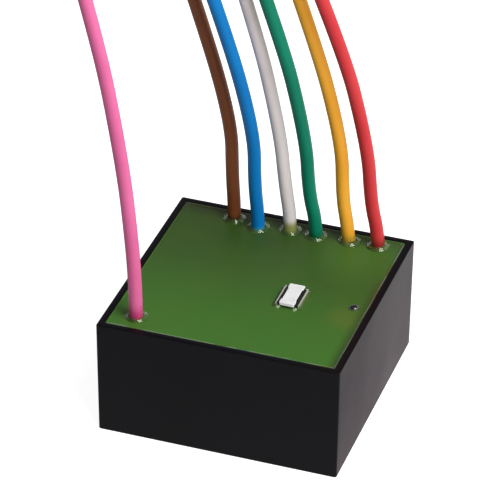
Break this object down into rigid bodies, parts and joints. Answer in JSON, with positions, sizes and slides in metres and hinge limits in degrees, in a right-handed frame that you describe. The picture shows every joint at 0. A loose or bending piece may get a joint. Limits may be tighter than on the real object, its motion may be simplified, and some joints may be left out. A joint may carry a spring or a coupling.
{
  "type": "radio receiver",
  "caption": "Flush-mounted radio relay receiver: square potting box closed by a coated circuit board, with a push button, an indicator and stiff connecting leads.",
  "frame": {"origin": "middle of the potting box's underside", "axes": "+Z out of the board, along the leads' feet; +Y towards the row of six leads; +X to the right with the antenna lead at the front left"},
  "size_m": [0.0534, 0.04, 0.1058],
  "materials": {
    "box_plastic": "moulded, satin black",
    "potting_resin": "cast, dark grey",
    "coat_resin": "clear gloss over the green board",
    "board_laminate": "green solder mask",
    "button_steel": "tinned sheet",
    "button_tray_plastic": "moulded, black",
    "dome_steel": "spring steel",
    "key_plastic": "moulded, white",
    "lens_plastic": "smoked, polished",
    "lamp_plastic": "pale moulded",
    "brown_insulation": "extruded, satin",
    "blue_insulation": "extruded, satin",
    "white_insulation": "extruded, satin",
    "green_insulation": "extruded, satin",
    "yellow_insulation": "extruded, satin",
    "red_insulation": "extruded, satin",
    "pink_insulation": "extruded, satin",
    "copper": "drawn, bright",
    "solder": "reflowed tin",
    "tinned_legs": "tinned wire and tabs",
    "gold_pins": "gold flash",
    "film_box_plastic": "moulded, grey",
    "can_aluminium": "drawn can",
    "varistor_coating": "dipped, blue",
    "resistor_coating": "cement, green",
    "package_epoxy": "moulded, black",
    "relay_case_plastic": "moulded, black",
    "relay_base_plastic": "moulded, black",
    "former_plastic": "moulded, natural",
    "winding_lacquer": "lacquered copper wire",
    "magnet_steel": "plated soft iron",
    "spring_bronze": "rolled strip",
    "ferrite": "sintered",
    "connector_plastic": "moulded, black",
    "chip_ceramic": "sintered, tan",
    "chip_film": "glazed, black",
    "crystal_lid": "plated lid"
  },
  "bodies": {
    "receiver": {"potting_box": "box_plastic", "casting_resin": "potting_resin", "clear_coat": "coat_resin", "control_board": "board_laminate", "power_board": "board_laminate", "button_frame": "button_steel", "button_base": "button_tray_plastic", "button_dome": "dome_steel", "button_terminals": "tinned_legs", "indicator_lens": "lens_plastic", "indicator_lamp": "lamp_plastic", "antenna_lead": "pink_insulation", "stripped_ends": "copper", "lead_cores": "copper", "lead_solder": "solder", "film_capacitor": "film_box_plastic", "input_capacitor": "can_aluminium", "output_capacitor": "can_aluminium", "varistor": "varistor_coating", "fusible_resistor": "resistor_coating", "bridge_rectifier": "package_epoxy", "supply_controller": "package_epoxy", "rectifier_diode": "package_epoxy", "voltage_regulator": "package_epoxy", "relay_drivers": "package_epoxy", "transformer_core": "ferrite", "transformer_bobbin": "former_plastic", "transformer_winding": "winding_lacquer", "component_legs": "tinned_legs", "chip_terminals": "tinned_legs", "link_header": "connector_plastic", "link_pins": "gold_pins", "link_socket": "connector_plastic", "radio_chip": "package_epoxy", "radio_crystal": "crystal_lid", "processor_chip": "package_epoxy", "chip_capacitors": "chip_ceramic", "chip_resistors": "chip_film", "relay_bases": "relay_base_plastic", "relay_cores": "magnet_steel", "relay_coil_formers": "former_plastic", "relay_windings": "winding_lacquer", "brown_lead": "brown_insulation", "blue_lead": "blue_insulation", "white_lead": "white_insulation", "green_lead": "green_insulation", "yellow_lead": "yellow_insulation", "red_lead": "red_insulation", "relay_1_case": "relay_case_plastic", "relay_1_yoke": "magnet_steel", "relay_1_terminals": "tinned_legs", "relay_2_case": "relay_case_plastic", "relay_2_yoke": "magnet_steel", "relay_2_terminals": "tinned_legs"},
    "button": {"button_key": "key_plastic"},
    "relay_1_arm": {"relay_1_armature": "magnet_steel", "relay_1_contact_spring": "spring_bronze"},
    "relay_2_arm": {"relay_2_armature": "magnet_steel", "relay_2_contact_spring": "spring_bronze"}
  },
  "joints": [
    {"name": "button_press", "type": "slide", "parent": "receiver", "child": "button", "axis": [0, 0, -1], "range_m": [0, 0.00015], "stiffness_N_per_m": 10600, "deforming": ["button_dome"]},
    {"name": "relay_1_pull_in", "type": "hinge", "parent": "receiver", "child": "relay_1_arm", "pos_m": [0.01277, -0.00288, 0.0138], "axis": [-1, 0, 0], "range_deg": [0, 2.29], "stiffness_Nm_per_rad": 0.02, "springref_deg": -2.29},
    {"name": "relay_2_pull_in", "type": "hinge", "parent": "receiver", "child": "relay_2_arm", "pos_m": [0.00212, -0.00288, 0.0138], "axis": [-1, 0, 0], "range_deg": [0, 2.29], "stiffness_Nm_per_rad": 0.02, "springref_deg": -2.29}
  ]
}
